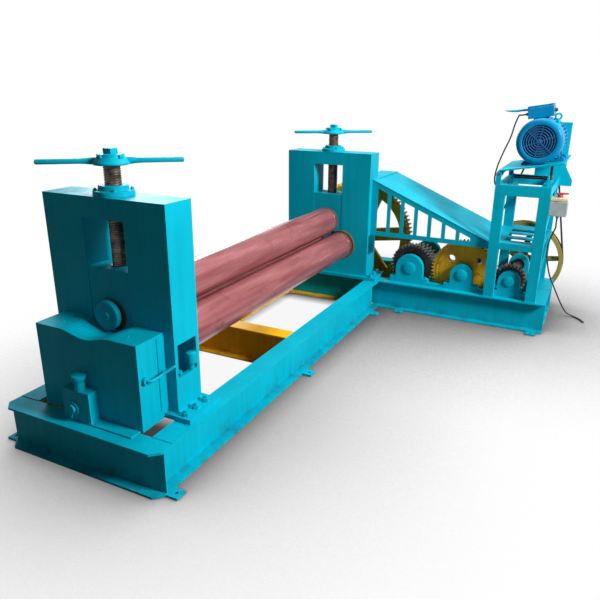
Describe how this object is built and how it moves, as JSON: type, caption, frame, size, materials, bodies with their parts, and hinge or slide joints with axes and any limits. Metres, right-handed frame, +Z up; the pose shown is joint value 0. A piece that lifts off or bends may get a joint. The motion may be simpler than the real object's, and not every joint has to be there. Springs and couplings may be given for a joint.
{
  "type": "plate bending machine",
  "caption": "Motor-driven three-roll plate bending machine on a rolled-beam bed, with screw-down top roll, gear train and belt drive on a side base.",
  "frame": {"origin": "on the floor, under the middle of the bed's near cross beam, on the rolls' centre plane", "axes": "+Y along the rolls towards the drive end, +X towards the drive train's side base, +Z up"},
  "size_m": [2.7939, 3.9945, 1.7757],
  "materials": {
    "box_plastic": "pale grey moulded case",
    "bronze": "turned bearing bronze",
    "cyan_paint": "gloss shop enamel, a little uneven",
    "greased_steel": "cut steel under dark grease",
    "machined_steel": "oiled turned steel",
    "motor_paint": "gloss blue enamel",
    "olive_paint": "satin olive-yellow enamel",
    "red_plastic": "red moulded knob",
    "roll_primer": "thin red-brown protective coat over turned steel",
    "rubber": "matt black rubber",
    "yellow_paint": "satin enamel, worn at the tooth tips"
  },
  "bodies": {
    "frame": {"bed_near_beam": "cyan_paint", "bed_left_beam": "cyan_paint", "bed_right_beam": "cyan_paint", "bed_cross_beam": "cyan_paint", "base_front_beam": "cyan_paint", "base_rear_beam": "cyan_paint", "base_left_beam": "cyan_paint", "base_end_beam": "cyan_paint", "near_stand": "cyan_paint", "far_stand": "cyan_paint", "near_front_bush": "bronze", "near_rear_bush": "bronze", "far_front_bush": "bronze", "far_rear_bush": "bronze", "near_screw_nut": "cyan_paint", "far_screw_nut": "cyan_paint", "roll_end_cover": "cyan_paint", "clamp_bracket": "cyan_paint", "clamp_bolt": "cyan_paint", "front_bearing_plate": "cyan_paint", "rear_bearing_plate": "cyan_paint", "v_belts": "rubber", "tower_frame": "cyan_paint", "platform_hinge_pin": "machined_steel", "gear_guard": "cyan_paint", "belt_guard": "cyan_paint", "control_box": "box_plastic", "supply_cable": "rubber", "motor_cable": "rubber"},
    "carriage": {"near_top_block": "cyan_paint", "far_top_block": "cyan_paint"},
    "top_roll": {"top_roll": "roll_primer", "top_roll_end_disc": "cyan_paint"},
    "near_screw": {"near_screw": "machined_steel", "near_handle_bar": "cyan_paint"},
    "far_screw": {"far_screw": "machined_steel", "far_handle_bar": "cyan_paint"},
    "front_roll": {"lower_front_roll": "roll_primer", "front_roll_gear": "yellow_paint", "bull_gear": "yellow_paint"},
    "rear_roll": {"lower_rear_roll": "roll_primer", "rear_roll_gear": "yellow_paint"},
    "idler": {"idler_gear": "greased_steel"},
    "shaft_1": {"pinion_shaft_1": "greased_steel", "gear_1": "greased_steel"},
    "shaft_2": {"shaft_2": "machined_steel", "gear_2": "yellow_paint"},
    "shaft_3": {"pinion_shaft_3": "greased_steel", "belt_wheel": "olive_paint"},
    "motor_platform": {"motor_platform": "cyan_paint", "motor_body": "motor_paint", "motor_fan_cover": "motor_paint", "motor_terminal_box": "motor_paint"},
    "motor_rotor": {"motor_shaft": "machined_steel", "motor_pulley": "greased_steel"},
    "tension_screw": {"tension_screw": "machined_steel"},
    "cover_lock_pin": {"cover_lock_pin": "cyan_paint"},
    "cover_latch_lever": {"cover_latch_lever": "cyan_paint"},
    "stand_lock_pin": {"stand_lock_pin": "cyan_paint"},
    "switch_knob": {"switch_knob": "red_plastic"}
  },
  "joints": [
    {"name": "top_roll_lift", "type": "slide", "parent": "frame", "child": "carriage", "axis": [0, 0, 1], "range_m": [-0.014, 0.2]},
    {"name": "top_roll_spin", "type": "hinge", "parent": "carriage", "child": "top_roll", "pos_m": [0, 1.727, 0.753], "axis": [0, 1, 0], "continuous": true},
    {"name": "near_screw_turn", "type": "hinge", "parent": "carriage", "child": "near_screw", "pos_m": [0, 0.373, 1.5], "axis": [0, 0, 1], "range_deg": [-425, 6010]},
    {"name": "far_screw_turn", "type": "hinge", "parent": "carriage", "child": "far_screw", "pos_m": [0, 3.081, 1.5], "axis": [0, 0, 1], "range_deg": [-425, 6010]},
    {"name": "front_roll_spin", "type": "hinge", "parent": "frame", "child": "front_roll", "pos_m": [0.142, 3.25, 0.543], "axis": [0, 1, 0], "continuous": true},
    {"name": "rear_roll_spin", "type": "hinge", "parent": "frame", "child": "rear_roll", "pos_m": [-0.142, 3.25, 0.543], "axis": [0, 1, 0], "continuous": true},
    {"name": "idler_spin", "type": "hinge", "parent": "frame", "child": "idler", "pos_m": [0, 3.25, 0.38829], "axis": [0, 1, 0], "continuous": true},
    {"name": "shaft_1_spin", "type": "hinge", "parent": "frame", "child": "shaft_1", "pos_m": [0.76425, 3.25, 0.385], "axis": [0, 1, 0], "continuous": true},
    {"name": "shaft_2_spin", "type": "hinge", "parent": "frame", "child": "shaft_2", "pos_m": [1.21925, 3.25, 0.385], "axis": [0, 1, 0], "continuous": true},
    {"name": "shaft_3_spin", "type": "hinge", "parent": "frame", "child": "shaft_3", "pos_m": [1.60425, 3.25, 0.385], "axis": [0, 1, 0], "continuous": true},
    {"name": "platform_tilt", "type": "hinge", "parent": "frame", "child": "motor_platform", "pos_m": [1.4361, 3.38, 1.2475], "axis": [0, -1, 0], "range_deg": [-3, 1], "deforming": ["v_belts", "motor_cable"]},
    {"name": "tension_screw_slide", "type": "slide", "parent": "frame", "child": "tension_screw", "axis": [0, 0, 1], "range_m": [-0.021, 0.0075]},
    {"name": "motor_spin", "type": "hinge", "parent": "motor_platform", "child": "motor_rotor", "pos_m": [1.6901, 3.87, 1.49887], "axis": [0, 1, 0], "continuous": true},
    {"name": "cover_lock_pin_pull", "type": "slide", "parent": "frame", "child": "cover_lock_pin", "axis": [0, -1, 0], "range_m": [0, 0.07]},
    {"name": "cover_latch_turn", "type": "hinge", "parent": "frame", "child": "cover_latch_lever", "pos_m": [0.33, 0.11, 0.52], "axis": [1, 0, 0], "range_deg": [-60, 75]},
    {"name": "stand_lock_pin_lift", "type": "slide", "parent": "frame", "child": "stand_lock_pin", "axis": [0, 0, 1], "range_m": [0, 0.05]},
    {"name": "switch_turn", "type": "hinge", "parent": "frame", "child": "switch_knob", "pos_m": [1.8943, 3.06, 1.1], "axis": [0, 0, 1], "range_deg": [-45, 45]}
  ],
  "couplings": [
    {"joint": "near_screw_turn", "follows": "top_roll_lift", "rad_per_m": 523.6},
    {"joint": "far_screw_turn", "follows": "top_roll_lift", "rad_per_m": 523.6},
    {"joint": "rear_roll_spin", "follows": "front_roll_spin", "ratio": 1},
    {"joint": "idler_spin", "follows": "front_roll_spin", "ratio": -1.3333},
    {"joint": "shaft_1_spin", "follows": "front_roll_spin", "ratio": -3.8636},
    {"joint": "shaft_2_spin", "follows": "front_roll_spin", "ratio": 2.6473},
    {"joint": "shaft_3_spin", "follows": "front_roll_spin", "ratio": -6.2154},
    {"joint": "motor_spin", "follows": "front_roll_spin", "ratio": -34.727},
    {"joint": "tension_screw_slide", "follows": "platform_tilt", "m_per_rad": 0.36754}
  ]
}
